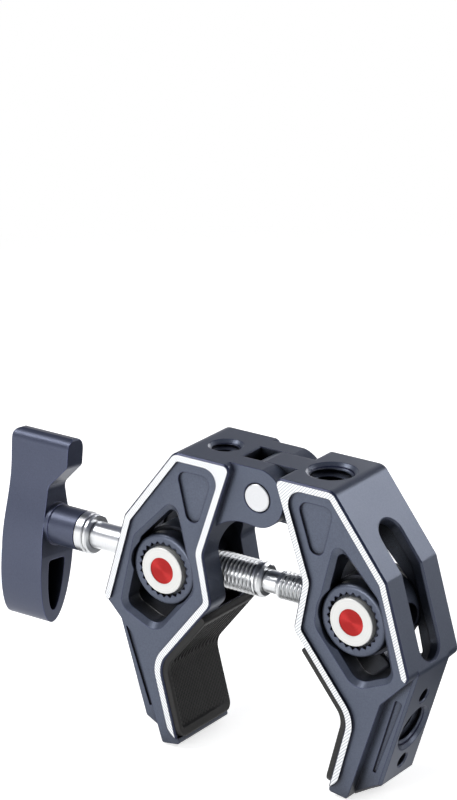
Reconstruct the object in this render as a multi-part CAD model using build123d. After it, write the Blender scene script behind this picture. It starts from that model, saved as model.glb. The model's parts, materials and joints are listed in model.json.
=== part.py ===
from build123d import *
import os
from math import cos, hypot, pi, sin, sqrt

# A double-jaw bar clamp for camera rigs. Two forged jaws share one hinge pin at the top and are
# drawn together by a double-acting screw that runs through a barrel nut in each jaw.
# X runs from the left jaw to the right one, Y from front to back and Z up. The origin is the
# centre of the bar that the jaws grip. Lengths are in millimetres.

# The jaws' common thickness and the small edge break that runs all round both faces
jaw_thickness = 20.0
edge_break = 0.4

# Corners of the right jaw's outline as (x, z), clockwise from the corner beside the hinge
shoulder_in = (5.3, 51.9)
shoulder_out = (20.2, 51.9)
fold = (33.4, 34.7)
elbow = (39.3, 14.3)
heel = (31.9, 6.8)
toe_out = (24.1, -17.1)
toe_in = (19.4, -16.4)
vee = (24.2, 1.65)
throat = (10.5, 18.8)
neck = (12.7, 30.1)
shoulder_in_radius = 1.5
shoulder_out_radius = 2.6
fold_radius = 1.3
elbow_radius = 1.9
heel_radius = 2.2
toe_radius = 0.6
vee_radius = 5.7
throat_radius = 2.9
neck_radius = 4.0

# The raised border on each face and the recessed panel inside it
border_width = 1.4
face_recess = 0.8
panel_shoulder_radius = 3.3
panel_corner_radius = 1.0
border_end_inset = 1.8
border_end_radius = 0.6
border_toe_rise = 3.0
border_toe_drop = 0.7
border_toe_radius = 3.6

# The shallow triangular pocket near the top of each panel
pocket_depth = 0.65
pocket_top_drop = 4.15
pocket_left = 10.75
pocket_right = 20.0
pocket_point = (16.0, 31.7)
pocket_radius = 1.9

# The hinge: two ears on the left jaw, one tongue on the right jaw, and a pin pressed in the ears
pin_drop = 6.5
pin_radius = 3.05
pin_running_clearance = 0.05
pin_end_proud = 0.15
hinge_radius = 6.6
ear_set_back = 2.0
tongue_width = 6.8
hinge_side_gap = 0.1
hinge_nose_gap = 0.2
web_length = 12.0
web_drop = 10.0
web_meet = 1.2
web_bend_x = 6.2
web_bend_drop = 6.6
pin_hole_chamfer = 0.35

# The barrel nuts, one in each jaw, and their journals in the jaws' walls
nut_x = 24.25
screw_height = 23.4
trunnion_radius = 8.1
trunnion_top_below_panel = 1.1
trunnion_edge_radius = 1.0
journal_clearance = 0.08
journal_chamfer = 0.35
nut_core_radius = 8.85
nut_core_side_gap = 0.1
nut_core_room = 0.3

# The drive serration in each trunnion, the cap ring in it and the coloured disc in the ring
serration_count = 24
serration_radius = 6.45
serration_tooth = 0.7
serration_depth = 0.9
cap_ring_radius = 5.25
cap_ring_proud = 0.75
cap_ring_edge = 0.12
disc_radius = 3.0
disc_sunk = 0.12

# The kite-shaped window through each wall, as (x, z) corners on the panel
window_corners = [(20.4, 41.5), (31.4, 30.2), (35.4, 12.8), (25.5, 8.5), (15.1, 20.9)]
window_radii = [2.05, 4.0, 2.8, 4.0, 4.0]
window_chamfer = 1.1

# The hollow between the walls, where the nut's core and the screw swing
hollow_width = 8.4
hollow_skin = 2.4
hollow_mouth_top = 35.0
hollow_mouth_bottom = 15.9
hollow_roof = (20.8, 43.2)
hollow_floor_inner = (17.6, 15.6)
hollow_floor_low = (26.4, 9.6)
hollow_floor_outer = (34.0, 12.3)
hollow_mouth_radius = 3.6
hollow_neck = (15.7, 36.5)
hollow_side_run = 1.0
hollow_floor_run = 2.0
hollow_corner_radius = 0.8

# The bent slot through the two outer facets
slot_width = 7.1
slot_up_bevel = 11.6
slot_down_side = 19.9
slot_chamfer = 0.4
slot_depth = 4.4

# The mounting boss on the lower outer side of each jaw
boss_width = 13.2
boss_facet_end = (30.7, -13.4)
boss_toe = (28.0, -14.8)
boss_edge_break = 0.6
boss_end_radius = 0.6
boss_toe_radius = 1.2
boss_root = 2.0
boss_groove_depth = 0.5
boss_groove_top = (34.9, 7.2)
boss_groove_bottom = (29.1, -10.4)
boss_groove_top_half = 0.85
boss_groove_bottom_half = 0.35

# Threaded holes, by the radius of their walls: 3/8 inch and 1/4 inch camera threads
large_thread_radius = 4.76
small_thread_radius = 3.175
thread_mouth_chamfer = 0.7
top_hole_x = 13.45
right_top_hole_depth = 7.4
left_top_hole_depth = 8.0
boss_hole_depth = 8.0
boss_hole_drop = 16.3
locating_pitch = 17.0
locating_radius = 1.6
locating_depth = 4.0
locating_chamfer = 0.3

# The rubber pads in the jaws' vee, 2 mm thick and sunk a little into the jaw
pad_thickness = 2.0
pad_sunk = 0.6
pad_width = 19.0
pad_top = 15.3
pad_bottom = -15.0
pad_edge_radius = 0.7

# The screw, which draws both nuts at once, and what clamps its handle
shaft_radius = 3.05
left_thread_radius = 3.9
right_thread_radius = 3.15
nut_bore_clearance = 0.05
left_thread_start = -26.0
left_thread_end = -2.5
neck_end = 1.0
neck_groove_radius = 2.5
right_thread_end = 29.0
thread_end_chamfer = 0.5
flange_x = -48.3
flange_length = 1.1
flange_radius = 4.55
flange_edge = 0.3
washer_length = 2.3
washer_radius = 4.65
washer_edge = 0.3
washer_clearance = 0.05
washer_end_gap = 0.05
spigot_radius = 2.5
spigot_end = -63.0

# The handle, upright: its outline seen from the front, its width seen from the side, and its
# pocket. At rest it is turned about the screw by handle_turn degrees, with its top to the back.
handle_top = 43.7
handle_bottom = 0.4
handle_nose_x = -55.7
handle_nose_bottom = 37.4
handle_neck_x = -60.4
handle_neck_z = 32.3
handle_waist_z = 16.5
handle_front_waist_x = -59.0
handle_front_low_x = -59.2
handle_waist_thickness = 11.3
handle_top_lean = 1.3
handle_low_lean = 0.3
handle_turn = 7.0
handle_top_back_radius = 1.4
handle_nose_radius = 1.5
handle_neck_radius = 2.6
handle_top_half_width = 2.75
handle_shoulder_z = 36.4
handle_waist_half_width = 5.7
handle_crown_flat = 0.1
handle_nose_top_radius = 0.5
hub_radius = 4.56
hub_ring_radius = 4.8
hub_ring_x = -58.7
handle_rim = 2.8
handle_pocket_top = 15.4
handle_pocket_bottom = 3.2
handle_pocket_depth = 5.0
handle_pocket_corner_radius = 0.9

# The screw that fixes the handle on the spigot
handle_screw_head_radius = 2.9
handle_screw_head_height = 1.5
handle_screw_socket_radius = 1.3
handle_screw_socket_depth = 0.9
handle_screw_radius = 1.5
handle_screw_end = -56.75
handle_screw_sunk = 0.4

# Sizes that follow from the ones above
half_jaw = jaw_thickness / 2
panel_level = half_jaw - face_recess
trunnion_level = panel_level - trunnion_top_below_panel
half_hollow = hollow_width / 2
core_half_width = half_hollow - nut_core_side_gap
ear_level = half_jaw - ear_set_back
half_tongue = tongue_width / 2
jaw_top = shoulder_in[1]
pin_height = jaw_top - pin_drop
handle_back_waist_x = handle_front_waist_x - handle_waist_thickness
handle_back_top_x = handle_back_waist_x - handle_top_lean
handle_back_low_x = handle_back_waist_x - handle_low_lean
beyond = 5.0


def corner_lines(points, distances):
    """Corner points of a polygon whose edges are moved inwards, each by its own distance."""
    moved = []
    count = len(points)
    for i in range(count):
        before, here, after = points[i - 1], points[i], points[(i + 1) % count]
        first = hypot(here[0] - before[0], here[1] - before[1])
        second = hypot(after[0] - here[0], after[1] - here[1])
        in_1 = ((here[1] - before[1]) / first, -(here[0] - before[0]) / first)
        in_2 = ((after[1] - here[1]) / second, -(after[0] - here[0]) / second)
        reach_1 = in_1[0] * here[0] + in_1[1] * here[1] + distances[i - 1]
        reach_2 = in_2[0] * here[0] + in_2[1] * here[1] + distances[i]
        turn = in_1[0] * in_2[1] - in_1[1] * in_2[0]
        x = (reach_1 * in_2[1] - reach_2 * in_1[1]) / turn
        z = (in_1[0] * reach_2 - in_2[0] * reach_1) / turn
        moved.append((x, z))
    return moved


def slab(points, radii, low, high):
    """A plate with the given front outline and corner radii, from y = low to y = high."""
    outline = make_face(FilletPolyline(*points, radius=radii, close=True))
    return extrude(Plane.XZ.offset(-low) * outline, amount=high - low, dir=(0, 1, 0))


def both_sides(points, radii, low, high):
    """The same plate on the front and on the back of the middle plane."""
    return slab(points, radii, low, high) + slab(points, radii, -high, -low)


def across(x, z, radius, low, high):
    """A round bar along Y."""
    middle = Pos(x, (low + high) / 2, z)
    return middle * Rotation(90, 0, 0) * Cylinder(radius, high - low)


def along(start, end, radius, z):
    """A round bar along X."""
    return Pos((start + end) / 2, 0, z) * Rotation(0, 90, 0) * Cylinder(radius, end - start)


def hole(mouth, radius, depth, chamfer_size):
    """A blind round hole whose mouth is the plane's origin, with a chamfered edge."""
    bore = Pos(0, 0, -depth / 2) * Cylinder(radius, depth)
    lip = Pos(0, 0, -chamfer_size / 2) * Cone(radius, radius + chamfer_size, chamfer_size)
    relief = Pos(0, 0, beyond / 2) * Cylinder(radius + chamfer_size, beyond)
    return mouth * (bore + lip + relief)


jaw_outline = [shoulder_in, shoulder_out, fold, elbow, heel, toe_out, toe_in, vee, throat, neck]
jaw_radii = [shoulder_in_radius, shoulder_out_radius, fold_radius, elbow_radius, heel_radius,
             toe_radius, toe_radius, vee_radius, throat_radius, neck_radius]

# Directions of the bevel, the side and the boss facet, each a unit vector pointing down the jaw
bevel_length = hypot(fold[0] - shoulder_out[0], fold[1] - shoulder_out[1])
bevel_way = ((fold[0] - shoulder_out[0]) / bevel_length, (fold[1] - shoulder_out[1]) / bevel_length)
side_length = hypot(elbow[0] - fold[0], elbow[1] - fold[1])
side_way = ((elbow[0] - fold[0]) / side_length, (elbow[1] - fold[1]) / side_length)
facet_length = hypot(boss_facet_end[0] - elbow[0], boss_facet_end[1] - elbow[1])
facet_way = ((boss_facet_end[0] - elbow[0]) / facet_length,
             (boss_facet_end[1] - elbow[1]) / facet_length)
facet_out = (-facet_way[1], facet_way[0])


def jaw_plate():
    """The plain jaw with its broken edges."""
    plate = slab(jaw_outline, jaw_radii, -half_jaw, half_jaw)
    faces = plate.faces().sort_by(Axis.Y)
    return chamfer(faces[0].edges() + faces[-1].edges(), edge_break)


def boss():
    """The narrower block on the jaw's lower outer side, which carries the accessory holes."""
    root = boss_root
    points = [(fold[0] - root, elbow[1]), (fold[0], elbow[1] + root),
              (elbow[0] - side_way[0] * root, elbow[1] - side_way[1] * root), elbow, boss_facet_end,
              boss_toe, toe_out, (toe_in[0] + root, toe_in[1] + root), (vee[0] + root, vee[1])]
    radii = [0, 0, 0, elbow_radius, boss_end_radius, boss_toe_radius, 0, 0, 0]
    block = slab(points, radii, -boss_width / 2, boss_width / 2)
    faces = block.faces().sort_by(Axis.Y)
    return chamfer(faces[0].edges() + faces[-1].edges(), boss_edge_break)


def panels():
    """What is cut from both faces: the recess inside the border and the triangular pocket."""
    inset = edge_break + border_width
    inner = corner_lines(jaw_outline, [inset] * len(jaw_outline))
    end_by_elbow = (elbow[0] - border_end_inset, elbow[1])
    rise = (toe_in[1] + border_toe_rise - inner[6][1]) / (inner[7][1] - inner[6][1])
    start_by_toe = (inner[6][0] + rise * (inner[7][0] - inner[6][0]), toe_in[1] + border_toe_rise)
    end_by_toe = (toe_in[0] - edge_break, toe_in[1] + border_toe_drop)
    points = [inner[0], inner[1], inner[2], end_by_elbow, (elbow[0] + beyond, elbow[1] - beyond),
              (toe_out[0] + beyond, toe_out[1] - beyond), (toe_in[0] - inset, toe_in[1] - beyond),
              end_by_toe, start_by_toe, inner[7], inner[8], inner[9]]
    radii = [panel_shoulder_radius, panel_corner_radius, panel_corner_radius, border_end_radius, 0,
             0, 0, 0, border_toe_radius, vee_radius + border_width, throat_radius - border_width,
             neck_radius]
    cut = both_sides(points, radii, panel_level, half_jaw + beyond)
    pocket_top = jaw_top - pocket_top_drop
    triangle = [(pocket_left, pocket_top), (pocket_right, pocket_top), pocket_point]
    return cut + both_sides(triangle, [pocket_radius] * 3, panel_level - pocket_depth, half_jaw)


def window():
    """The kite-shaped opening through both walls, with its sloped edge and the nut's journal."""
    count = len(window_corners)
    inner = corner_lines(window_corners, [window_chamfer] * count)
    inner_radii = [radius - window_chamfer / 2 for radius in window_radii]
    cut = slab(inner, inner_radii, -half_jaw, half_jaw)
    level = panel_level
    face = make_face(FilletPolyline(*window_corners, radius=window_radii, close=True))
    small = make_face(FilletPolyline(*inner, radius=inner_radii, close=True))
    for side in (-1, 1):
        outer = Plane.XZ.offset(-side * level) * face
        low = Plane.XZ.offset(-side * (level - window_chamfer)) * small
        cut += loft([outer, low])
    journal = trunnion_radius + journal_clearance
    cut += across(nut_x, screw_height, journal, -half_jaw, half_jaw)
    cone = Cone(journal, journal + journal_chamfer, journal_chamfer)
    turn = Rotation(90, 0, 0)
    cut += Pos(nut_x, -(level - journal_chamfer / 2), screw_height) * turn * cone
    cut += Pos(nut_x, level - journal_chamfer / 2, screw_height) * Rotation(-90, 0, 0) * cone
    return cut


def hollow():
    """The space between the walls, open to the throat."""
    skin = [0, hollow_skin, hollow_skin, 0, 0, 0, 0, 0, 0, 0]
    wall = corner_lines(jaw_outline, skin)
    roof_drop = (wall[2][1] - wall[1][1]) / (wall[2][0] - wall[1][0])
    roof_outer = (wall[1][0] + (hollow_roof[1] - wall[1][1]) / roof_drop, hollow_roof[1])
    mouth_x = throat[0] - beyond
    points = [(mouth_x, hollow_mouth_bottom), (mouth_x, hollow_mouth_top),
              (neck[0], hollow_mouth_top), hollow_neck, hollow_roof, roof_outer, wall[2],
              (wall[3][0] + side_way[0] * hollow_side_run, wall[3][1]), hollow_floor_outer,
              hollow_floor_low, hollow_floor_inner,
              (throat[0] + hollow_floor_run, hollow_mouth_bottom)]
    soft = hollow_corner_radius
    radii = [0, 0, 0, soft, soft, soft, soft, soft, soft, soft, soft, 0]
    cut = slab(points, radii, -half_hollow, half_hollow)
    throat_side = slab([(mouth_x, hollow_mouth_bottom), (mouth_x, hollow_mouth_top),
                        (nut_x, hollow_mouth_top), (nut_x, hollow_mouth_bottom)],
                       [0, 0, 0, 0], -half_hollow, half_hollow)
    rounded = [edge for edge in throat_side.edges().filter_by(Axis.X)
               if edge.center().Z > screw_height]
    core_room = across(nut_x, screw_height, nut_core_radius + nut_core_room, -half_hollow,
                       half_hollow)
    return cut.cut(throat_side) + fillet(rounded, hollow_mouth_radius) + core_room


def outer_slot():
    """The bent slot through the bevel and the side, with round ends and chamfered edges."""
    half = slot_width / 2
    cut = None
    for way, reach in ((bevel_way, -slot_up_bevel), (side_way, slot_down_side)):
        outwards = (-way[1], way[0])
        facet = Plane(origin=(fold[0], 0, fold[1]), x_dir=(way[0], 0, way[1]),
                      z_dir=(outwards[0], 0, outwards[1]))
        sense = 1 if reach > 0 else -1
        straight = abs(reach) - half
        for spread, low, high in ((0, -slot_depth, beyond), (slot_chamfer, 0, beyond)):
            end_x = sense * straight
            band = Pos(end_x / 2, 0, (low + high) / 2) * Box(straight, 2 * (half + spread), high - low)
            end = Pos(end_x, 0, (low + high) / 2) * Cylinder(half + spread, high - low)
            piece = facet * (band + end)
            cut = piece if cut is None else cut + piece
        ramp_end = Pos(sense * straight, 0, -slot_chamfer / 2) * Cone(half, half + slot_chamfer,
                                                                      slot_chamfer)
        trapezium = Plane.YZ * make_face(Polyline((-half, -slot_chamfer), (half, -slot_chamfer),
                                                  (half + slot_chamfer, 0),
                                                  (-half - slot_chamfer, 0), close=True))
        ramp = extrude(trapezium, amount=straight, dir=(sense, 0, 0))
        cut += facet * (ramp_end + ramp)
    return cut


def boss_grooves():
    """The long tapered groove on each side of the boss."""
    out = facet_out
    top, bottom = boss_groove_top, boss_groove_bottom
    wide, thin = boss_groove_top_half, boss_groove_bottom_half
    points = [(top[0] - out[0] * wide, top[1] - out[1] * wide),
              (top[0] + out[0] * wide, top[1] + out[1] * wide),
              (bottom[0] + out[0] * thin, bottom[1] + out[1] * thin),
              (bottom[0] - out[0] * thin, bottom[1] - out[1] * thin)]
    radii = [wide / 2, wide / 2, thin / 2, thin / 2]
    return both_sides(points, radii, boss_width / 2 - boss_groove_depth, boss_width / 2)


def pad_shape():
    """The rubber pad's profile, laid in the vee of the right jaw."""
    proud = pad_thickness - pad_sunk
    back = corner_lines([toe_in, vee, throat], [0, 0, 0])
    upper = hypot(throat[0] - vee[0], throat[1] - vee[1])
    lower = hypot(toe_in[0] - vee[0], toe_in[1] - vee[1])
    up_way = ((throat[0] - vee[0]) / upper, (throat[1] - vee[1]) / upper)
    low_way = ((toe_in[0] - vee[0]) / lower, (toe_in[1] - vee[1]) / lower)
    up_out = (-up_way[1], up_way[0])
    low_out = (low_way[1], -low_way[0])
    top_run = (pad_top - vee[1]) / up_way[1]
    low_run = (pad_bottom - vee[1]) / low_way[1]
    top = (vee[0] + up_way[0] * top_run, pad_top)
    bottom = (vee[0] + low_way[0] * low_run, pad_bottom)
    reach = [(-pad_sunk, 1), (proud, 0)]
    inner = {}
    for distance, key in reach:
        line_up = (vee[0] + up_out[0] * distance, vee[1] + up_out[1] * distance)
        line_low = (vee[0] + low_out[0] * distance, vee[1] + low_out[1] * distance)
        turn = up_way[0] * low_way[1] - up_way[1] * low_way[0]
        gap = (line_low[0] - line_up[0], line_low[1] - line_up[1])
        step = (gap[0] * low_way[1] - gap[1] * low_way[0]) / turn
        corner = (line_up[0] + up_way[0] * step, line_up[1] + up_way[1] * step)
        inner[key] = [(top[0] + up_out[0] * distance, top[1] + up_out[1] * distance), corner,
                      (bottom[0] + low_out[0] * distance, bottom[1] + low_out[1] * distance)]
    points = inner[0] + inner[1][::-1]
    radii = [pad_edge_radius, vee_radius - proud, pad_edge_radius, 0, vee_radius + pad_sunk, 0]
    return slab(points, radii, -pad_width / 2, pad_width / 2)


def hinge_web(low, high):
    """The round hinge eye and the web that joins it to the jaw, on the jaw's own side."""
    eye = across(0, pin_height, hinge_radius, low, high)
    start = (web_length, jaw_top - web_drop - hinge_radius)
    meet = (web_meet, pin_height - sqrt(hinge_radius ** 2 - web_meet ** 2))
    edge = ThreePointArc(start, (web_bend_x, pin_height - web_bend_drop), meet)
    frame = Polyline(meet, (0, pin_height), (0, jaw_top), (web_length, jaw_top), start)
    web = extrude(Plane.XZ.offset(-low) * make_face(edge + frame), amount=high - low, dir=(0, 1, 0))
    lid = Pos(0, 0, jaw_top + beyond / 2) * Box(4 * hinge_radius, 2 * jaw_thickness, beyond)
    return eye + web - lid


def top_hole(radius, depth):
    """A threaded hole in the jaw's top face."""
    return hole(Plane(origin=(top_hole_x, 0, jaw_top), z_dir=(0, 0, 1)), radius, depth,
                thread_mouth_chamfer)


def pin_bore(radius, low, high):
    """The hinge pin's bore through the hinge."""
    return across(0, pin_height, radius, low, high)


def common_jaw():
    """Everything that the two jaws share."""
    jaw = jaw_plate() + boss()
    for cut in (panels(), window(), hollow(), outer_slot(), boss_grooves(), pad_shape()):
        jaw -= cut
    return jaw


def boss_holes():
    """The large accessory hole in the boss facet, with a locating hole above and below it."""
    centre = (elbow[0] + facet_way[0] * boss_hole_drop, elbow[1] + facet_way[1] * boss_hole_drop)
    cut = None
    holes = ((0, large_thread_radius, boss_hole_depth, thread_mouth_chamfer),
             (-locating_pitch / 2, locating_radius, locating_depth, locating_chamfer),
             (locating_pitch / 2, locating_radius, locating_depth, locating_chamfer))
    for step, radius, depth, lip in holes:
        mouth = Plane(origin=(centre[0] + facet_way[0] * step, 0, centre[1] + facet_way[1] * step),
                      z_dir=(facet_out[0], 0, facet_out[1]))
        piece = hole(mouth, radius, depth, lip)
        cut = piece if cut is None else cut + piece
    return cut


def right_jaw():
    """The jaw with the hinge tongue, the large top hole and the accessory holes."""
    jaw = common_jaw() + hinge_web(-half_tongue, half_tongue)
    bore = pin_bore(pin_radius + pin_running_clearance, -half_jaw, half_jaw)
    return jaw - bore - top_hole(large_thread_radius, right_top_hole_depth) - boss_holes()


def left_jaw():
    """The jaw with the two hinge ears and the small top hole."""
    gap = half_tongue + hinge_side_gap
    ears = hinge_web(gap, ear_level) + hinge_web(-ear_level, -gap)
    jaw = common_jaw() + ears
    room = hinge_radius + hinge_nose_gap
    jaw -= Pos(0, 0, pin_height) * Box(2 * room, 2 * gap, 2 * room)
    jaw -= pin_bore(pin_radius, -half_jaw, half_jaw)
    lip = Cone(pin_radius, pin_radius + pin_hole_chamfer, pin_hole_chamfer)
    level = ear_level - pin_hole_chamfer / 2
    jaw -= Pos(0, -level, pin_height) * Rotation(90, 0, 0) * lip
    jaw -= Pos(0, level, pin_height) * Rotation(-90, 0, 0) * lip
    jaw -= top_hole(small_thread_radius, left_top_hole_depth)
    return mirror(jaw, about=Plane.YZ)


def hinge_pin():
    """The headless pin pressed in the ears."""
    end = ear_level + pin_end_proud
    pin = across(0, pin_height, pin_radius, -end, end)
    faces = pin.faces().sort_by(Axis.Y)
    return chamfer(faces[0].edges() + faces[-1].edges(), pin_end_proud)


def nut_core(bore_radius):
    """The nut's disc between the walls, with the cross hole for the screw."""
    core = across(nut_x, screw_height, nut_core_radius, -core_half_width, core_half_width)
    reach = nut_core_radius + beyond
    return core - along(nut_x - reach, nut_x + reach, bore_radius, screw_height)


def trunnion():
    """One round trunnion of a nut, which turns in the wall, with its serrated drive recess."""
    body = across(nut_x, screw_height, trunnion_radius, core_half_width, trunnion_level)
    body = fillet(body.faces().sort_by(Axis.Y)[-1].edges(), trunnion_edge_radius)
    points = []
    for i in range(2 * serration_count):
        radius = serration_radius - serration_tooth * (i % 2)
        angle = pi * i / serration_count
        points.append((nut_x + radius * cos(angle), screw_height + radius * sin(angle)))
    star = make_face(Polyline(*points, close=True))
    floor = trunnion_level - serration_depth
    return body - extrude(Plane.XZ.offset(-floor) * star, amount=beyond, dir=(0, 1, 0))


def cap_ring():
    """The bright ring that caps a trunnion."""
    floor = trunnion_level - serration_depth
    top = trunnion_level + cap_ring_proud
    ring = across(nut_x, screw_height, cap_ring_radius, floor, top)
    ring = chamfer(ring.faces().sort_by(Axis.Y)[-1].edges(), cap_ring_edge)
    return ring - across(nut_x, screw_height, disc_radius, floor - beyond, top + beyond)


def disc():
    """The coloured disc in a cap ring."""
    floor = trunnion_level - serration_depth
    return across(nut_x, screw_height, disc_radius, floor, trunnion_level + cap_ring_proud - disc_sunk)


def screw():
    """The one-piece screw: spigot, flange, shaft, large thread, neck and small thread."""
    z = screw_height
    flange_end = flange_x - flange_length
    body = along(spigot_end, flange_end, spigot_radius, z)
    body += chamfer(along(flange_end, flange_x, flange_radius, z).edges(), flange_edge)
    body += along(flange_x, left_thread_start, shaft_radius, z)
    for start, end, radius in ((left_thread_start, left_thread_end, left_thread_radius),
                               (neck_end, right_thread_end, right_thread_radius)):
        body += chamfer(along(start, end, radius, z).edges().filter_by(GeomType.CIRCLE),
                        thread_end_chamfer)
    body += along(left_thread_end, neck_end, neck_groove_radius, z)
    return body - along(spigot_end - beyond, handle_screw_end, handle_screw_radius, z)


def washer():
    """The thrust washer between the screw's flange and the handle's hub."""
    end = flange_x - flange_length
    ring = along(end - washer_length, end, washer_radius, screw_height)
    ring = chamfer(ring.edges().filter_by(GeomType.CIRCLE), washer_edge)
    bore = spigot_radius + washer_clearance
    return ring - along(end - washer_length - beyond, end + beyond, bore, screw_height)


def handle():
    """The flat cast handle with its hub, front pocket and hole for its fixing screw."""
    corners = [(handle_front_low_x, handle_bottom - beyond), (handle_back_low_x, handle_bottom - beyond),
               (handle_back_low_x, handle_bottom), (handle_back_waist_x, handle_waist_z),
               (handle_back_top_x, handle_top), (handle_nose_x, handle_top),
               (handle_nose_x, handle_nose_bottom), (handle_neck_x, handle_neck_z),
               (handle_front_waist_x, handle_waist_z), (handle_front_low_x, handle_bottom)]
    radii = [0, 0, 0, 0, handle_top_back_radius, handle_nose_top_radius, handle_nose_radius,
             handle_neck_radius, 0, 0]
    side = extrude(Plane.YZ.offset(handle_back_low_x - beyond) * handle_section(),
                   amount=handle_nose_x - handle_back_low_x + 2 * beyond, dir=(1, 0, 0))
    body = slab(corners, radii, -handle_waist_half_width - beyond, handle_waist_half_width + beyond)
    body = body & side
    hub_face = flange_x - flange_length - washer_length - washer_end_gap
    body += along(handle_neck_x, hub_ring_x, hub_ring_radius, screw_height)
    body += along(handle_neck_x, hub_face, hub_radius, screw_height)
    body -= handle_pocket()
    body -= along(spigot_end, hub_face, spigot_radius, screw_height)
    return body - handle_screw_space()


def handle_section():
    """The handle's outline seen from the side: a narrow round top and a broad round bottom."""
    waist, top = handle_waist_half_width, handle_top_half_width
    round_z = handle_top + handle_crown_flat - top
    crown = ThreePointArc((-top, round_z), (0, round_z + top), (top, round_z))
    bowl = EllipticalCenterArc((0, handle_waist_z), waist, handle_waist_z - handle_bottom,
                               start_angle=180, arc_size=180)
    neck_right = Line((top, round_z), (top, handle_shoulder_z))
    neck_left = Line((-top, handle_shoulder_z), (-top, round_z))
    right = Spline((top, handle_shoulder_z), (waist, handle_waist_z), tangents=((0, -1), (0, -1)))
    left = Spline((-waist, handle_waist_z), (-top, handle_shoulder_z), tangents=((0, 1), (0, 1)))
    return make_face(Wire([crown, neck_right, right, bowl, left, neck_left]))


def handle_pocket():
    """The pocket in the handle's front, which follows the handle's outline inside an even rim."""
    half = handle_waist_half_width - handle_rim
    corner = handle_pocket_corner_radius
    level = handle_pocket_top - corner
    bowl = EllipticalCenterArc((0, level), half, level - handle_pocket_bottom, start_angle=180,
                               arc_size=180)
    right = JernArc((half, level), (0, 1), corner, 90)
    left = JernArc((-half, level), (0, 1), corner, -90)
    face = make_face(Wire([bowl, right, Line(right @ 1, left @ 1), left]))
    start = handle_front_waist_x - handle_pocket_depth
    return extrude(Plane.YZ.offset(start) * face, amount=handle_pocket_depth + beyond, dir=(1, 0, 0))


def handle_screw_space():
    """The fixing screw's place in the handle, with the room above its sunk head."""
    face = handle_screw_face()
    body = along(face, handle_screw_end, handle_screw_radius, screw_height)
    return body + along(handle_back_low_x - beyond, face + handle_screw_head_height,
                        handle_screw_head_radius, screw_height)


def handle_screw_face():
    """The level of the fixing screw's head, just under the handle's back."""
    slope = (handle_back_top_x - handle_back_waist_x) / (handle_top - handle_waist_z)
    return handle_back_waist_x + slope * (screw_height - handle_waist_z) + handle_screw_sunk


def handle_screw():
    """The screw that fixes the handle on the spigot, from the handle's back."""
    face = handle_screw_face()
    head = along(face, face + handle_screw_head_height, handle_screw_head_radius, screw_height)
    socket = along(face - beyond, face + handle_screw_socket_depth, handle_screw_socket_radius,
                   screw_height)
    return head + along(face, handle_screw_end, handle_screw_radius, screw_height) - socket


def turned(piece):
    """The same piece turned about the screw, as the handle stands at rest."""
    axis = Pos(0, 0, screw_height)
    return axis * Rotation(-handle_turn, 0, 0) * axis.inverse() * piece


def to_left(piece):
    """The same piece in the left jaw."""
    return mirror(piece, about=Plane.YZ)


def to_back(piece):
    """The same piece on the back of the jaw."""
    return mirror(piece, about=Plane.XZ)


nodes = {
    "left_jaw": left_jaw(),
    "right_jaw": right_jaw(),
    "left_pad": to_left(pad_shape()),
    "right_pad": pad_shape(),
    "hinge_pin": hinge_pin(),
    "left_nut_core": to_left(nut_core(left_thread_radius + nut_bore_clearance)),
    "right_nut_core": nut_core(right_thread_radius + nut_bore_clearance),
    "screw": screw(),
    "thrust_washer": washer(),
    "handle": turned(handle()),
    "handle_screw": turned(handle_screw()),
}
for name, make in (("trunnion", trunnion), ("cap_ring", cap_ring), ("disc", disc)):
    back = make()
    front = to_back(back)
    nodes["right_front_" + name] = front
    nodes["right_back_" + name] = back
    nodes["left_front_" + name] = to_left(front)
    nodes["left_back_" + name] = to_left(back)

os.makedirs("parts", exist_ok=True)
for name, solid in nodes.items():
    solid.label = name
    export_step(solid, "parts/" + name + ".step")
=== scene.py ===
import json
import math
import bpy
from mathutils import Matrix, Vector


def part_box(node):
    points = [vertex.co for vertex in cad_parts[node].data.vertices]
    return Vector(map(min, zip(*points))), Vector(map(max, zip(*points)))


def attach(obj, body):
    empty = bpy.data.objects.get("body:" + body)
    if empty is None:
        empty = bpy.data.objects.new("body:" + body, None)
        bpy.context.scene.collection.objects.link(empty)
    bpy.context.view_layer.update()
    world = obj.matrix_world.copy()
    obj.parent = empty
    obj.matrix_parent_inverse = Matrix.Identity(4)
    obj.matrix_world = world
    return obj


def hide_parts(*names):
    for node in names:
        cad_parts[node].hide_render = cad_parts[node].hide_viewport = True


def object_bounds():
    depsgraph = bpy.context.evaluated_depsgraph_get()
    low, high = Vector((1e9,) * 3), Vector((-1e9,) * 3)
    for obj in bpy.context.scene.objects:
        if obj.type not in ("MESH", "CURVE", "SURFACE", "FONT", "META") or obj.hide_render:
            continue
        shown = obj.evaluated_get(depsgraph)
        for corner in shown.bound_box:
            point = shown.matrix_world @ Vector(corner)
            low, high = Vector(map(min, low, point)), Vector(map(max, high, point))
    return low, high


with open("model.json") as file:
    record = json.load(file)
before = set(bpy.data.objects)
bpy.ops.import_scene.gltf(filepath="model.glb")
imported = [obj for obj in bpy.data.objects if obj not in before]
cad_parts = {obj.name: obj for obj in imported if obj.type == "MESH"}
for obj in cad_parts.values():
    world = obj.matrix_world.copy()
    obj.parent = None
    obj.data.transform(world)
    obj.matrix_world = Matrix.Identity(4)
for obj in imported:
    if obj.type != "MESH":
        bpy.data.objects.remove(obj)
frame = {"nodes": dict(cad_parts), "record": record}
cad_low, cad_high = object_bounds()
nodes = frame["nodes"]
mounts = {mount["name"]: mount for mount in frame["record"]["mounts"]}
MM = 0.001

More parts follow.
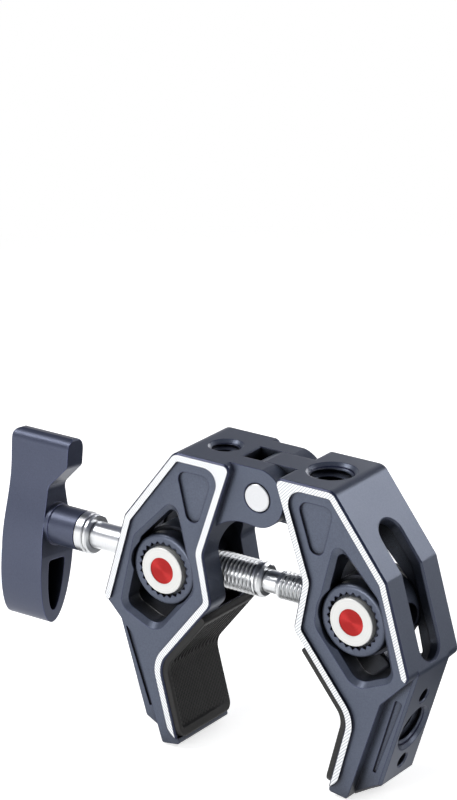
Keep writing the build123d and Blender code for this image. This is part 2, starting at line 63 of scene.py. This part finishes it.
# The camera stands to the right of the clamp's front, a little above it, with a long lens, so that
# the edges along the bar run almost parallel.
camera_place = Vector((358.06, -530.25, 293.34)) * MM
camera_azimuth = 34.975
camera_elevation = 19.656
camera_lens = 146.27
camera_data = bpy.data.cameras.new("camera")
camera_data.lens = camera_lens
camera_data.sensor_width = 36.0
camera_data.clip_start = 0.01
camera_data.clip_end = 20.0
camera = bpy.data.objects.new("camera", camera_data)
camera.location = camera_place
camera.rotation_euler = (math.radians(90 - camera_elevation), 0, math.radians(camera_azimuth))
bpy.context.collection.objects.link(camera)
bpy.context.scene.camera = camera
bpy.context.scene.view_settings.view_transform = "Standard"


# The table is a sheet of matt white paper under the clamp. Lenses and polished metal see it as
# bright as the paper behind a product picture, and near the clamp it still takes its soft shadow.
# Behind the clamp on the right, a dark card drawn for glossy rays only is painted reflection in the
# metal.
def linear(hex_colour):
    """An sRGB hex colour as linear red, green, blue and full alpha."""
    channels = [int(hex_colour[i:i + 2], 16) / 255 for i in (1, 3, 5)]
    return [c / 12.92 if c <= 0.04045 else ((c + 0.055) / 1.055) ** 2.4 for c in channels] + [1.0]


def node(tree, kind, settings=None, inputs=None, links=None):
    """Adds one shader node with its settings, input values and links from other nodes' outputs."""
    made = tree.nodes.new(kind)
    for name, value in (settings or {}).items():
        setattr(made, name, value)
    for name, value in (inputs or {}).items():
        made.inputs[name].default_value = value
    for name, source in (links or {}).items():
        tree.links.new(source, made.inputs[name])
    return made


def blank_material(name):
    """A new node material with nothing in it, and its tree."""
    made = bpy.data.materials.new(name)
    made.use_nodes = True
    made.node_tree.nodes.clear()
    return made, made.node_tree


def looked_at(tree, paths):
    """1 where the camera, a mirror or a lens looks straight at a surface, and 0 for its light."""
    seen = paths.outputs["Is Camera Ray"]
    for kind in ("Is Glossy Ray", "Is Transmission Ray"):
        seen = node(tree, "ShaderNodeMath", {"operation": "MAXIMUM"},
                    links={0: seen, 1: paths.outputs[kind]}).outputs[0]
    return seen


# Distances are in millimetres from the clamp. The card fades in over its start and out over its end.
floor_drop = 0.4
floor_half = 1200
paper_glow = 0.66
shadow_end = 170
backdrop_start = 400
card_way = (0.57, 0.82, 0)
card_start = (0, 80)
card_end = (320, 190)
floor_level = cad_low.z / MM - floor_drop
paper_white, tree = blank_material("matt_white_paper")
paths = node(tree, "ShaderNodeLightPath")
paper = node(tree, "ShaderNodeBsdfDiffuse", inputs={"Color": linear("#F4F4F4")})
glow = node(tree, "ShaderNodeEmission", inputs={"Color": linear("#FFFFFF"), "Strength": paper_glow})
both = node(tree, "ShaderNodeAddShader", links={0: paper.outputs[0], 1: glow.outputs[0]})
place = node(tree, "ShaderNodeNewGeometry")
away = node(tree, "ShaderNodeVectorMath", {"operation": "LENGTH"}, links={0: place.outputs["Position"]})
distance = node(tree, "ShaderNodeMapRange", {"interpolation_type": "SMOOTHSTEP"},
                {"From Min": shadow_end * MM, "From Max": backdrop_start * MM},
                {"Value": away.outputs["Value"]})
white = node(tree, "ShaderNodeEmission", inputs={"Color": linear("#FFFFFF"), "Strength": 1.0})
sheet = node(tree, "ShaderNodeMixShader",
             links={0: distance.outputs[0], 1: both.outputs[0], 2: white.outputs[0]})
mixed = node(tree, "ShaderNodeMixShader",
             links={0: looked_at(tree, paths), 1: paper.outputs[0], 2: sheet.outputs[0]})
behind = node(tree, "ShaderNodeVectorMath", {"operation": "DOT_PRODUCT"},
              {1: [part / MM for part in card_way]}, {0: place.outputs["Position"]})
card = paths.outputs["Is Glossy Ray"]
for clear, full in (card_start, card_end):
    side = node(tree, "ShaderNodeMapRange", {"interpolation_type": "SMOOTHSTEP"},
                {"From Min": clear, "From Max": full}, {"Value": behind.outputs["Value"]})
    card = node(tree, "ShaderNodeMath", {"operation": "MULTIPLY"},
                links={0: card, 1: side.outputs[0]}).outputs[0]
# Painted reflection: only glossy rays see this dark card on the paper.
dark = node(tree, "ShaderNodeBsdfDiffuse", inputs={"Color": linear("#2A2C34")})
paper_with_painted_reflection = node(tree, "ShaderNodeMixShader",
               links={0: card, 1: mixed.outputs[0], 2: dark.outputs[0]})
node(tree, "ShaderNodeOutputMaterial", links={"Surface": paper_with_painted_reflection.outputs[0]})
floor_mesh = bpy.data.meshes.new("floor")
floor_mesh.from_pydata([(x * floor_half * MM, y * floor_half * MM, floor_level * MM)
                        for x, y in ((-1, -1), (1, -1), (1, 1), (-1, 1))], [], [(0, 1, 2, 3)])
floor = bpy.data.objects.new("floor", floor_mesh)
floor_mesh.materials.append(paper_white)
bpy.context.collection.objects.link(floor)

# The room is dim and even. Towards the horizon it is as white as the paper, and from there it
# fades to a grey ceiling, which gives the bright steel its dark bands.
room_light = 0.19
horizon_end = 0.10
ceiling_start = 0.34
world = bpy.data.worlds.new("studio")
bpy.context.scene.world = world
world.use_nodes = True
world.node_tree.nodes.clear()
tree = world.node_tree
paths = node(tree, "ShaderNodeLightPath")
way = node(tree, "ShaderNodeTexCoord")
height = node(tree, "ShaderNodeSeparateXYZ", links={0: way.outputs["Generated"]})
fade = node(tree, "ShaderNodeMapRange", {"interpolation_type": "SMOOTHSTEP"},
            {"From Min": horizon_end, "From Max": ceiling_start}, {"Value": height.outputs["Z"]})
sky = node(tree, "ShaderNodeMix", {"data_type": "RGBA"},
           {6: linear("#FFFFFF"), 7: linear("#6F7280")}, {0: fade.outputs[0]})
backdrop = node(tree, "ShaderNodeBackground", inputs={"Strength": 1.0}, links={"Color": sky.outputs[2]})
room = node(tree, "ShaderNodeBackground", inputs={"Color": linear("#F6F8FC"), "Strength": room_light})
mixed = node(tree, "ShaderNodeMixShader",
             links={0: looked_at(tree, paths), 1: room.outputs[0], 2: backdrop.outputs[0]})
node(tree, "ShaderNodeOutputWorld", links={"Surface": mixed.outputs[0]})


# Five soft boxes: a broad one in front on the left for the flat faces, a small one behind on the
# right whose gleam lies on the outer bevels, one above on the left for the edges, and two weak ones
# that fill the right side and the back.
def softbox(name, place, size, power):
    """A square area lamp at place, aimed at the middle of the clamp, in millimetres and watts."""
    lamp = bpy.data.lights.new(name, "AREA")
    lamp.size = size * MM
    lamp.energy = power
    box = bpy.data.objects.new(name, lamp)
    box.location = Vector(place) * MM
    box.rotation_euler = (-Vector(place)).to_track_quat("-Z", "Y").to_euler()
    bpy.context.collection.objects.link(box)


softbox("front_left", (-130, -610, 110), 320, 2.5)
softbox("back_right", (326, 500, 323), 170, 0.9)
softbox("above_left", (-320, -190, 450), 180, 1.3)
softbox("right_side", (620, 80, 120), 260, 0.8)
softbox("back_left", (-150, 620, 90), 320, 1.6)

# The two jaws are forged and milled aluminium, finely blasted and anodised a slate blue. Their sharp
# edges get a dark line of painted shade, and the blasting leaves a fine grain, drawn here coarser than
# it is, so that it shows. The hollows are darkened with painted shade, as little light reaches them.
blast_grain = 0.35
grain_height = 0.02
dye_patch = 9.0
edge_round = 0.3
edge_bend = (0.998, 0.94)
hollow_reach = 10.0
hollow_air = (0.76, 0.36)


def anodised_aluminium(name, colour_low, colour_high, edge_shade_and_sheen):
    """Blasted and dyed aluminium, with a painted edge tone and painted shade in its hollows."""
    made, tree = blank_material(name)
    place = node(tree, "ShaderNodeTexCoord")
    in_mm = node(tree, "ShaderNodeVectorMath", {"operation": "SCALE"}, {"Scale": 1 / MM},
                 {0: place.outputs["Object"]})
    grain = node(tree, "ShaderNodeTexNoise", inputs={"Scale": 1 / blast_grain, "Detail": 3.0},
                 links={"Vector": in_mm.outputs[0]})
    patch = node(tree, "ShaderNodeTexNoise", inputs={"Scale": 1 / dye_patch, "Detail": 1.0},
                 links={"Vector": in_mm.outputs[0]})
    speckle = node(tree, "ShaderNodeMix", {"data_type": "RGBA"},
                   {6: linear(colour_low), 7: linear(colour_high)}, {0: grain.outputs[0]})
    dyed = node(tree, "ShaderNodeMix", {"data_type": "RGBA", "blend_type": "MULTIPLY"},
                {7: linear("#EDEFF3")}, {0: patch.outputs[0], 6: speckle.outputs[2]})
    rounded = node(tree, "ShaderNodeBevel", {"samples": 6}, {"Radius": edge_round * MM})
    face = node(tree, "ShaderNodeNewGeometry")
    alike = node(tree, "ShaderNodeVectorMath", {"operation": "DOT_PRODUCT"},
                 links={0: rounded.outputs[0], 1: face.outputs["Normal"]})
    edge = node(tree, "ShaderNodeMapRange", {"interpolation_type": "SMOOTHSTEP"},
                {"From Min": edge_bend[0], "From Max": edge_bend[1]},
                {"Value": alike.outputs["Value"]})
    # Painted light on the rounded edges: a dark edge tone is painted shade, a light one painted
    # highlight.
    edge_painted = node(tree, "ShaderNodeMix", {"data_type": "RGBA"}, {7: linear(edge_shade_and_sheen)},
                 {0: edge.outputs[0], 6: dyed.outputs[2]})
    # Painted shade: ambient occlusion mixes the hollows towards near black #0B0D14.
    open_air = node(tree, "ShaderNodeAmbientOcclusion", {"samples": 4}, {"Distance": hollow_reach * MM})
    hollow_painted_shade = node(tree, "ShaderNodeMapRange", {"interpolation_type": "SMOOTHSTEP"},
                  {"From Min": hollow_air[0], "From Max": hollow_air[1]},
                  {"Value": open_air.outputs["AO"]})
    colour = node(tree, "ShaderNodeMix", {"data_type": "RGBA"}, {7: linear("#0B0D14")},
                  {0: hollow_painted_shade.outputs[0], 6: edge_painted.outputs[2]})
    rough = node(tree, "ShaderNodeMapRange", inputs={"To Min": 0.31, "To Max": 0.43},
                 links={"Value": grain.outputs[0]})
    bump = node(tree, "ShaderNodeBump", inputs={"Strength": 0.2, "Distance": grain_height * MM},
                links={"Height": grain.outputs[0], "Normal": rounded.outputs[0]})
    surface = node(tree, "ShaderNodeBsdfPrincipled", inputs={"Metallic": 0.45},
                   links={"Base Color": colour.outputs[2], "Roughness": rough.outputs[0],
                          "Normal": bump.outputs[0]})
    node(tree, "ShaderNodeOutputMaterial", links={"Surface": surface.outputs[0]})
    return made


# The jaws' dark navy edge tone #23284A is painted shade.
anodised = anodised_aluminium("anodised_aluminium_slate", "#454B5A", "#5A6171", "#23284A")
# A darker copy of the slate anodising: painted shade for the step walls and chamfers below the bare
# line.
anodised_shaded_rim = anodised_aluminium("anodised_aluminium_painted_shade_rim", "#262B42", "#30364F", "#20253F")

# Round each face of a jaw the anodising is cut away again in a bright line: bare aluminium, with
# the fine slanted marks that the cutter leaves. The marks lean with the jaw, left and right. Just
# below the line, the step walls and chamfers are painted darker, a narrow rim of painted shade.
mark_pitch = 0.52
mark_height = 0.02
line_depth = 0.02
rim_depth = 0.7


def bare_line(name, lean):
    """Bare milled aluminium with cutter marks at 45 degrees, leaning right for 1 or left for -1."""
    made, tree = blank_material(name)
    place = node(tree, "ShaderNodeTexCoord")
    turns = 2 * math.pi / (mark_pitch * MM * math.sqrt(2))
    across = node(tree, "ShaderNodeVectorMath", {"operation": "DOT_PRODUCT"},
                  {1: (-lean * turns, 0, turns)}, {0: place.outputs["Object"]})
    wave = node(tree, "ShaderNodeMath", {"operation": "SINE"}, links={0: across.outputs["Value"]})
    mark = node(tree, "ShaderNodeMapRange", {"interpolation_type": "SMOOTHSTEP"},
                {"From Min": 0.1, "From Max": 0.9}, {"Value": wave.outputs[0]})
    colour = node(tree, "ShaderNodeMix", {"data_type": "RGBA"},
                  {6: linear("#F2F3F4"), 7: linear("#B9BDC4")}, {0: mark.outputs[0]})
    rough = node(tree, "ShaderNodeMapRange", inputs={"To Min": 0.34, "To Max": 0.5},
                 links={"Value": mark.outputs[0]})
    bump = node(tree, "ShaderNodeBump", {"invert": True},
                {"Strength": 0.3, "Distance": mark_height * MM}, {"Height": mark.outputs[0]})
    surface = node(tree, "ShaderNodeBsdfPrincipled", inputs={"Metallic": 0.25},
                   links={"Base Color": colour.outputs[2], "Roughness": rough.outputs[0],
                          "Normal": bump.outputs[0]})
    node(tree, "ShaderNodeOutputMaterial", links={"Surface": surface.outputs[0]})
    return made


half_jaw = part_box("left_jaw")[1].y
for side, lean in (("left", -1), ("right", 1)):
    jaw = nodes[side + "_jaw"]
    jaw.data.materials.clear()
    jaw.data.materials.append(anodised)
    jaw.data.materials.append(bare_line("milled_aluminium_line_" + side, lean))
    jaw.data.materials.append(anodised_shaded_rim)
    for polygon in jaw.data.polygons:
        below_line = half_jaw - abs(polygon.center.y)
        if below_line < line_depth * MM:
            polygon.material_index = 1
        # Step walls and chamfers get the painted shade rim.
        elif below_line < rim_depth * MM:
            polygon.material_index = 2
        else:
            polygon.material_index = 0


# The camera threads are cut in the jaws: 3/8 inch with 16 turns to the inch in the right jaw's top
# and lower side, and 1/4 inch with 20 turns in the left jaw's top. Each is a sleeve of its turns.
turned_segments = 72
turned_crease = 35


def turned_mesh(name, stations, place, loop):
    """A turned piece about place's Z. A station is the level and the radius, or a rule for it."""
    segments = turned_segments
    corners = []
    for level, radius in stations:
        for i in range(segments):
            angle = 2 * math.pi * i / segments
            reach = radius(angle) if callable(radius) else radius
            corners.append(place @ Vector((reach * math.cos(angle), reach * math.sin(angle), level)))
    faces = []
    count = len(stations)
    for ring in range(count if loop else count - 1):
        low, high = ring * segments, (ring + 1) % count * segments
        for i in range(segments):
            after = (i + 1) % segments
            faces.append((low + i, low + after, high + after, high + i))
    if not loop:
        faces.append(tuple(range(segments))[::-1])
        faces.append(tuple(range((count - 1) * segments, count * segments)))
    mesh = bpy.data.meshes.new(name)
    mesh.from_pydata([corner * MM for corner in corners], [], faces)
    mesh.shade_smooth()
    mesh.set_sharp_from_angle(angle=math.radians(turned_crease))
    made = bpy.data.objects.new(name, mesh)
    bpy.context.collection.objects.link(made)
    return made


def thread_form(turn):
    """How far a 60 degree thread lies below its crest, from 0 to 1, at a place along one turn."""
    crest_flat, root_flat = 0.125, 0.25
    from_crest = abs(turn - math.floor(turn + 0.5)) * 2
    return min(1.0, max(0.0, (from_crest - crest_flat) / (1 - crest_flat - root_flat)))


inch = 25.4
thread_height = 0.61
steps_per_turn = 10
sleeve_wall = 0.02
for name, turns_per_inch in (("top_thread_large", 16), ("top_thread_small", 20),
                             ("side_thread_large", 16)):
    pitch = inch / turns_per_inch
    middle = Vector(mounts[name]["pos_m"]) / MM
    axis = Vector(mounts[name]["axis"])
    length = mounts[name]["dims"]["length_mm"]
    wall = mounts[name]["dims"]["r_mm"] - sleeve_wall
    place = Matrix.Translation(middle) @ axis.to_track_quat("Z", "Y").to_matrix().to_4x4()
    count = round(length / pitch * steps_per_turn)
    stations = []
    for i in range(count + 1):
        level = length * (i / count - 0.5)
        run_out = min(1.0, (count - i) / steps_per_turn, i / steps_per_turn)
        height = thread_height * pitch * run_out
        stations.append((level, lambda angle, level=level, height=height:
                         wall - sleeve_wall - height * (1 - thread_form(level / pitch
                                                                        - angle / (2 * math.pi)))))
    stations += [(length / 2, wall), (-length / 2, wall)]
    sleeve = turned_mesh(name + "_turns", stations, place, True)
    sleeve.data.flip_normals()
    sleeve.data.materials.append(anodised)
    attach(sleeve, "right_jaw" if middle.x > 0 else "left_jaw")

# Each jaw's vee is lined with a moulded rubber pad, 2 mm thick. Its upper flat has fine ribs under
# a smooth ledge, and its lower flat a diamond knurl inside a smooth border. The rubber is matt and
# nearly black, greyer where its skin has bloomed, with painted shade darkening the grooves.
vee = Vector((24.2, 1.65))
throat = Vector((10.5, 18.8))
toe = Vector((19.4, -16.4))
vee_radius = 5.7
pad_top = 15.3
pad_bottom = -15.0
pad_thickness = 2.0
pad_sunk = 0.6
pad_edge_radius = 0.7
pad_side_radius = 0.3
pad_corner_radius = 2.4
pad_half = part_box("left_pad")[1].y / MM
ledge = 2.4
rib_pitch = 1.25
rib_depth = 0.55
rib_steepness = 1.6
rib_end = 17.0
knurl_pitch = 0.8
knurl_depth = 0.16
knurl_steepness = 2.2
knurl_border = 1.3
knurl_lip = 2.4
field_depth = 0.6
field_rise_start = 2.0
relief_fade = 0.35
pad_step = 0.14
pad_crease = 50
skin_grain = 0.25
skin_height = 0.02
bloom_per_mm = 0.15
groove_reach = 0.9
groove_air = (0.74, 0.32)

rubber, tree = blank_material("moulded_black_rubber")
place = node(tree, "ShaderNodeTexCoord")
in_mm = node(tree, "ShaderNodeVectorMath", {"operation": "SCALE"}, {"Scale": 1 / MM},
             {0: place.outputs["Object"]})
skin = node(tree, "ShaderNodeTexNoise", inputs={"Scale": 1 / skin_grain, "Detail": 2.0},
            links={"Vector": in_mm.outputs[0]})
bloom = node(tree, "ShaderNodeTexNoise", inputs={"Scale": bloom_per_mm, "Detail": 2.0},
             links={"Vector": in_mm.outputs[0]})
worn = node(tree, "ShaderNodeMix", {"data_type": "RGBA"},
            {6: linear("#1A1A1B"), 7: linear("#272625")}, {0: bloom.outputs[0]})
open_air = node(tree, "ShaderNodeAmbientOcclusion", {"samples": 6}, {"Distance": groove_reach * MM})
# Painted shade: ambient occlusion mixes the grooves towards near black #060606.
groove_painted_shade = node(tree, "ShaderNodeMapRange", {"interpolation_type": "SMOOTHSTEP"},
              {"From Min": groove_air[0], "From Max": groove_air[1]},
              {"Value": open_air.outputs["AO"]})
colour = node(tree, "ShaderNodeMix", {"data_type": "RGBA"}, {7: linear("#060606")},
              {0: groove_painted_shade.outputs[0], 6: worn.outputs[2]})
rough = node(tree, "ShaderNodeMapRange", inputs={"To Min": 0.52, "To Max": 0.7},
             links={"Value": skin.outputs[0]})
bump = node(tree, "ShaderNodeBump", inputs={"Strength": 0.2, "Distance": skin_height * MM},
            links={"Height": skin.outputs[0]})
surface = node(tree, "ShaderNodeBsdfPrincipled", inputs={"IOR": 1.52, "Specular IOR Level": 0.3},
               links={"Base Color": colour.outputs[2], "Roughness": rough.outputs[0],
                      "Normal": bump.outputs[0]})
node(tree, "ShaderNodeOutputMaterial", links={"Surface": surface.outputs[0]})


def pad_path():
    """The line on the jaw under the pad, from top to bottom: distance run, point, way out."""
    up = (throat - vee).normalized()
    down = (toe - vee).normalized()
    up_out = Vector((-up.y, up.x))
    down_out = Vector((down.y, -down.x))
    turn = up_out.angle(down_out)
    tangent = vee_radius * math.tan(turn / 2)
    upper = (pad_top - vee.y) / up.y - tangent
    lower = (pad_bottom - vee.y) / down.y - tangent
    bend = vee_radius * turn
    centre = vee + up * tangent + up_out * vee_radius
    whole = upper + bend + lower
    count = round(whole / pad_step)
    path = []
    for i in range(count + 1):
        run = whole * i / count
        if run < upper:
            path.append((run, vee + up * (tangent + upper - run), up_out))
        elif run < upper + bend:
            angle = (run - upper) / vee_radius
            out = (up_out * math.sin(turn - angle) + down_out * math.sin(angle)) / math.sin(turn)
            path.append((run, centre - out * vee_radius, out))
        else:
            path.append((run, vee + down * (tangent + run - upper - bend), down_out))
    return path, whole


def rounding(distance, radius):
    """How far a rounded edge lies below its face at a distance from the edge."""
    inside = max(0.0, radius - distance)
    return radius - math.sqrt(radius ** 2 - inside ** 2)


def gate(value, start, end):
    """1 between start and end, fading to 0 just outside them."""
    return max(0.0, min(1.0, (value - start) / relief_fade + 1, (end - value) / relief_fade + 1))


def pad_relief(run, whole, y):
    """The depth of the pad's moulded pattern at a place on its face."""
    wave = rib_steepness * math.cos(2 * math.pi * y / rib_pitch)
    rib = max(0.0, min(1.0, 0.5 + wave)) * rib_depth
    one = abs(math.sin(math.pi * (run + y) / (knurl_pitch * math.sqrt(2))))
    other = abs(math.sin(math.pi * (run - y) / (knurl_pitch * math.sqrt(2))))
    knurl = (1 - min(1.0, knurl_steepness * one * other)) * knurl_depth
    inside = gate(run, ledge, whole - knurl_lip)
    inside *= gate(y, knurl_border - pad_half, pad_half - relief_fade)
    rise = max(0.0, (y - field_rise_start) / (pad_half - field_rise_start))
    ribbed = gate(run, ledge, rib_end)
    return ((1 - rise) * field_depth + ribbed * rib + (1 - ribbed) * knurl) * inside


def pad_mesh(name, mirror):
    """One pad: a fine grid for its face, closed by plain sides and a plain back."""
    path, whole = pad_path()
    columns = round(2 * pad_half / pad_step) + 1
    corners = []
    for run, foot, out in path:
        half = pad_half - rounding(whole - run, pad_corner_radius)
        for j in range(columns):
            y = half * (2 * j / (columns - 1) - 1)
            low = rounding(min(run, whole - run), pad_edge_radius)
            low = max(low, rounding(half - abs(y), pad_side_radius), pad_relief(run, whole, y))
            spot = foot + out * (pad_thickness - pad_sunk - low)
            corners.append(Vector((mirror * spot.x, y, spot.y)))
    back = len(corners)
    for run, foot, out in path:
        half = pad_half - rounding(whole - run, pad_corner_radius)
        spot = foot - out * pad_sunk
        corners.append(Vector((mirror * spot.x, -half, spot.y)))
        corners.append(Vector((mirror * spot.x, half, spot.y)))
    faces = []
    rows = len(path)
    for i in range(rows - 1):
        row, after = i * columns, (i + 1) * columns
        for j in range(columns - 1):
            faces.append((row + j, row + j + 1, after + j + 1, after + j))
        low, high = back + 2 * i, back + 2 * i + 2
        faces.append((low + 1, low, high, high + 1))
        faces.append((row, after, high, low))
        faces.append((row + columns - 1, low + 1, high + 1, after + columns - 1))
    faces.append(tuple(range(columns))[::-1] + (back, back + 1))
    last = (rows - 1) * columns
    faces.append(tuple(range(last, last + columns)) + (back + 2 * rows - 1, back + 2 * rows - 2))
    mesh = bpy.data.meshes.new(name)
    mesh.from_pydata([corner * MM for corner in corners], [], faces)
    if mirror > 0:
        mesh.flip_normals()
    mesh.shade_smooth()
    mesh.set_sharp_from_angle(angle=math.radians(pad_crease))
    made = bpy.data.objects.new(name, mesh)
    bpy.context.collection.objects.link(made)
    return made


for side, mirror in (("left", -1), ("right", 1)):
    pad = pad_mesh(side + "_ribbed_pad", mirror)
    pad.data.materials.append(rubber)
    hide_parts(side + "_pad")
    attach(pad, side + "_jaw")


# The hinge pin is pressed in the left jaw's ears. It is ground stainless steel, faced off on the
# lathe, so that its ends show as plain bright discs with faint rings. Painted shade darkens the
# steel in the roots of threads and in corners.
tool_pitch = 0.2
tool_height = 0.01
root_reach = 0.6
root_air = (0.85, 0.4)


def bright_steel(name, colour_low, colour_high, rough_low, rough_high, centre, axis):
    """Turned stainless steel, with faint tool rings round an axis through centre, and painted shade in
    roots.
    """
    made, tree = blank_material(name)
    place = node(tree, "ShaderNodeTexCoord")
    out = [0.0 if i == "XYZ".index(axis) else 1 / MM for i in range(3)]
    offset = node(tree, "ShaderNodeVectorMath", {"operation": "SUBTRACT"}, {1: centre},
                  {0: place.outputs["Object"]})
    flat = node(tree, "ShaderNodeVectorMath", {"operation": "MULTIPLY"}, {1: out},
                {0: offset.outputs[0]})
    reach = node(tree, "ShaderNodeVectorMath", {"operation": "LENGTH"}, links={0: flat.outputs[0]})
    along = node(tree, "ShaderNodeSeparateXYZ", links={0: offset.outputs[0]})
    run = node(tree, "ShaderNodeMath", {"operation": "MULTIPLY_ADD"}, {1: 1 / MM},
               {0: along.outputs[axis], 2: reach.outputs["Value"]})
    rings = node(tree, "ShaderNodeTexNoise", {"noise_dimensions": "1D"},
                 {"Scale": 1 / tool_pitch, "Detail": 3.0}, {"W": run.outputs[0]})
    clean = node(tree, "ShaderNodeMix", {"data_type": "RGBA"},
                 {6: linear(colour_low), 7: linear(colour_high)}, {0: rings.outputs[0]})
    open_air = node(tree, "ShaderNodeAmbientOcclusion", {"samples": 6}, {"Distance": root_reach * MM})
    # Painted shade: ambient occlusion mixes thread roots and corners towards dark #2E2F32.
    root_painted_shade = node(tree, "ShaderNodeMapRange", {"interpolation_type": "SMOOTHSTEP"},
                {"From Min": root_air[0], "From Max": root_air[1]},
                {"Value": open_air.outputs["AO"]})
    colour = node(tree, "ShaderNodeMix", {"data_type": "RGBA"}, {7: linear("#2E2F32")},
                  {0: root_painted_shade.outputs[0], 6: clean.outputs[2]})
    rough = node(tree, "ShaderNodeMapRange", inputs={"To Min": rough_low, "To Max": rough_high},
                 links={"Value": rings.outputs[0]})
    bump = node(tree, "ShaderNodeBump", inputs={"Strength": 0.08, "Distance": tool_height * MM},
                links={"Height": rings.outputs[0]})
    surface = node(tree, "ShaderNodeBsdfPrincipled", inputs={"Metallic": 1.0},
                   links={"Base Color": colour.outputs[2], "Roughness": rough.outputs[0],
                          "Normal": bump.outputs[0]})
    node(tree, "ShaderNodeOutputMaterial", links={"Surface": surface.outputs[0]})
    return made


pin = nodes["hinge_pin"]
pin_middle = sum(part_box("hinge_pin"), Vector()) / 2
pin.data.materials.clear()
pin.data.materials.append(bright_steel("ground_stainless_pin", "#BCBDC0", "#CBCCCE", 0.36, 0.46,
                                       pin_middle, "Y"))

# A nut turns in each jaw: a round aluminium core between the walls, bored for the screw, and a
# trunnion in each wall. They are anodised with the jaws, in the same bath.
for side in ("left", "right"):
    for name in ("_nut_core", "_front_trunnion", "_back_trunnion"):
        piece = nodes[side + name]
        piece.data.materials.clear()
        piece.data.materials.append(anodised)

# A ring of nickelled brass caps each trunnion, satin and nearly white, and in it lies a red
# anodised disc, spun on its face, so that its gleam opens in two fans about the middle. Each spun
# ring is a share of the piece's width, coarser than it is, so that it shows.
spin_share = 0.055
spin_height = 0.01


def spun_metal(name, colour_low, colour_high, metallic, rough, anisotropy):
    """A plated or dyed face with rings round its own middle, about Y."""
    made, tree = blank_material(name)
    place = node(tree, "ShaderNodeTexCoord")
    flat = node(tree, "ShaderNodeVectorMath", {"operation": "MULTIPLY_ADD"},
                {1: (1.0, 0.0, 1.0), 2: (-0.5, 0.0, -0.5)}, {0: place.outputs["Generated"]})
    reach = node(tree, "ShaderNodeVectorMath", {"operation": "LENGTH"}, links={0: flat.outputs[0]})
    rings = node(tree, "ShaderNodeTexNoise", {"noise_dimensions": "1D"},
                 {"Scale": 1 / spin_share, "Detail": 2.0}, {"W": reach.outputs["Value"]})
    colour = node(tree, "ShaderNodeMix", {"data_type": "RGBA"},
                  {6: linear(colour_low), 7: linear(colour_high)}, {0: rings.outputs[0]})
    round_about = node(tree, "ShaderNodeTangent", {"direction_type": "RADIAL", "axis": "Y"})
    bump = node(tree, "ShaderNodeBump", inputs={"Strength": 0.15, "Distance": spin_height * MM},
                links={"Height": rings.outputs[0]})
    surface = node(tree, "ShaderNodeBsdfPrincipled",
                   inputs={"Metallic": metallic, "Roughness": rough, "Anisotropic": anisotropy},
                   links={"Base Color": colour.outputs[2], "Normal": bump.outputs[0],
                          "Tangent": round_about.outputs[0]})
    node(tree, "ShaderNodeOutputMaterial", links={"Surface": surface.outputs[0]})
    return made


satin_nickel = spun_metal("satin_nickel_ring", "#D0D0CE", "#E0E0DE", 0.3, 0.42, 0.0)
red_spun = spun_metal("red_anodised_spun_disc", "#960C0C", "#AE1414", 0.55, 0.38, 0.85)
for side in ("left", "right"):
    for wall in ("front", "back"):
        for name, finish in (("_cap_ring", satin_nickel), ("_disc", red_spun)):
            piece = nodes[side + "_" + wall + name]
            piece.data.materials.clear()
            piece.data.materials.append(finish)

# The screw is turned from one bar of stainless steel. Its left half has a left-hand thread and its
# thinner right half a right-hand one, so that one turn of the handle draws both nuts together.
screw_height = 23.4
spigot_end = -63.0
spigot_radius = 2.5
bore_end = -56.75
bore_radius = 1.5
flange_start = -49.4
flange_end = -48.3
flange_radius = 4.55
flange_edge = 0.3
shaft_radius = 3.05
left_start = -26.0
left_radius = 3.9
left_collar = -3.75
left_end = -2.5
neck_radius = 2.5
right_start = 1.0
right_radius = 3.15
right_end = 29.0
end_chamfer = 0.5
screw_pitch = 1.0
steel_screw = bright_steel("turned_stainless_screw", "#C8CACC", "#E6E7E8", 0.27, 0.35,
                           (0, 0, screw_height * MM), "X")


def threaded(start, end, radius, hand):
    """The stations of a threaded stretch, whose turns run out at both ends."""
    count = round((end - start) / screw_pitch * steps_per_turn)
    stations = []
    for i in range(count + 1):
        level = start + (end - start) * i / count
        run_out = min(1.0, i / steps_per_turn, (count - i) / steps_per_turn)
        height = thread_height * screw_pitch * run_out
        stations.append((level, lambda angle, level=level, height=height:
                         radius - height * thread_form(level / screw_pitch
                                                       + hand * angle / (2 * math.pi))))
    return stations


left_core = left_radius - end_chamfer
right_core = right_radius - end_chamfer
stations = [(bore_end, bore_radius), (spigot_end, bore_radius), (spigot_end, spigot_radius),
            (flange_start, spigot_radius), (flange_start, flange_radius - flange_edge),
            (flange_start + flange_edge, flange_radius), (flange_end - flange_edge, flange_radius),
            (flange_end, flange_radius - flange_edge), (flange_end, shaft_radius),
            (left_start, shaft_radius), (left_start, left_core)]
stations += threaded(left_start + end_chamfer, left_collar, left_radius, -1)
stations += [(left_end - end_chamfer, left_radius), (left_end, left_core), (left_end, neck_radius),
             (right_start, neck_radius), (right_start, right_core)]
stations += threaded(right_start + end_chamfer, right_end - end_chamfer, right_radius, 1)
stations += [(right_end, right_core)]
along_x = Matrix.Translation((0, 0, screw_height)) @ Matrix.Rotation(math.pi / 2, 4, "Y")
screw = turned_mesh("double_screw", stations, along_x, False)
screw.data.materials.append(steel_screw)
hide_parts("screw")
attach(screw, "screw")

# A steel thrust washer runs between the screw's flange and the handle's hub. It is turned like the
# screw, and its tool rings run round the screw's axis.
washer = nodes["thrust_washer"]
washer.data.materials.clear()
washer.data.materials.append(bright_steel("turned_steel_washer", "#C6C8CA", "#E2E3E4", 0.26, 0.36,
                                          (0, 0, screw_height * MM), "X"))

# The handle is a flat aluminium casting, tumbled smooth and anodised with the jaws. A steel screw
# with a round socket holds it on the spigot from behind.
handle = nodes["handle"]
handle.data.materials.clear()
# The handle's lighter, bluer edge tone #4C5276 is painted highlight.
handle.data.materials.append(anodised_aluminium("anodised_aluminium_casting", "#3E4355", "#4D5367",
                                                 "#4C5276"))
handle_screw = nodes["handle_screw"]
handle_screw.data.materials.clear()
handle_screw.data.materials.append(steel_screw)
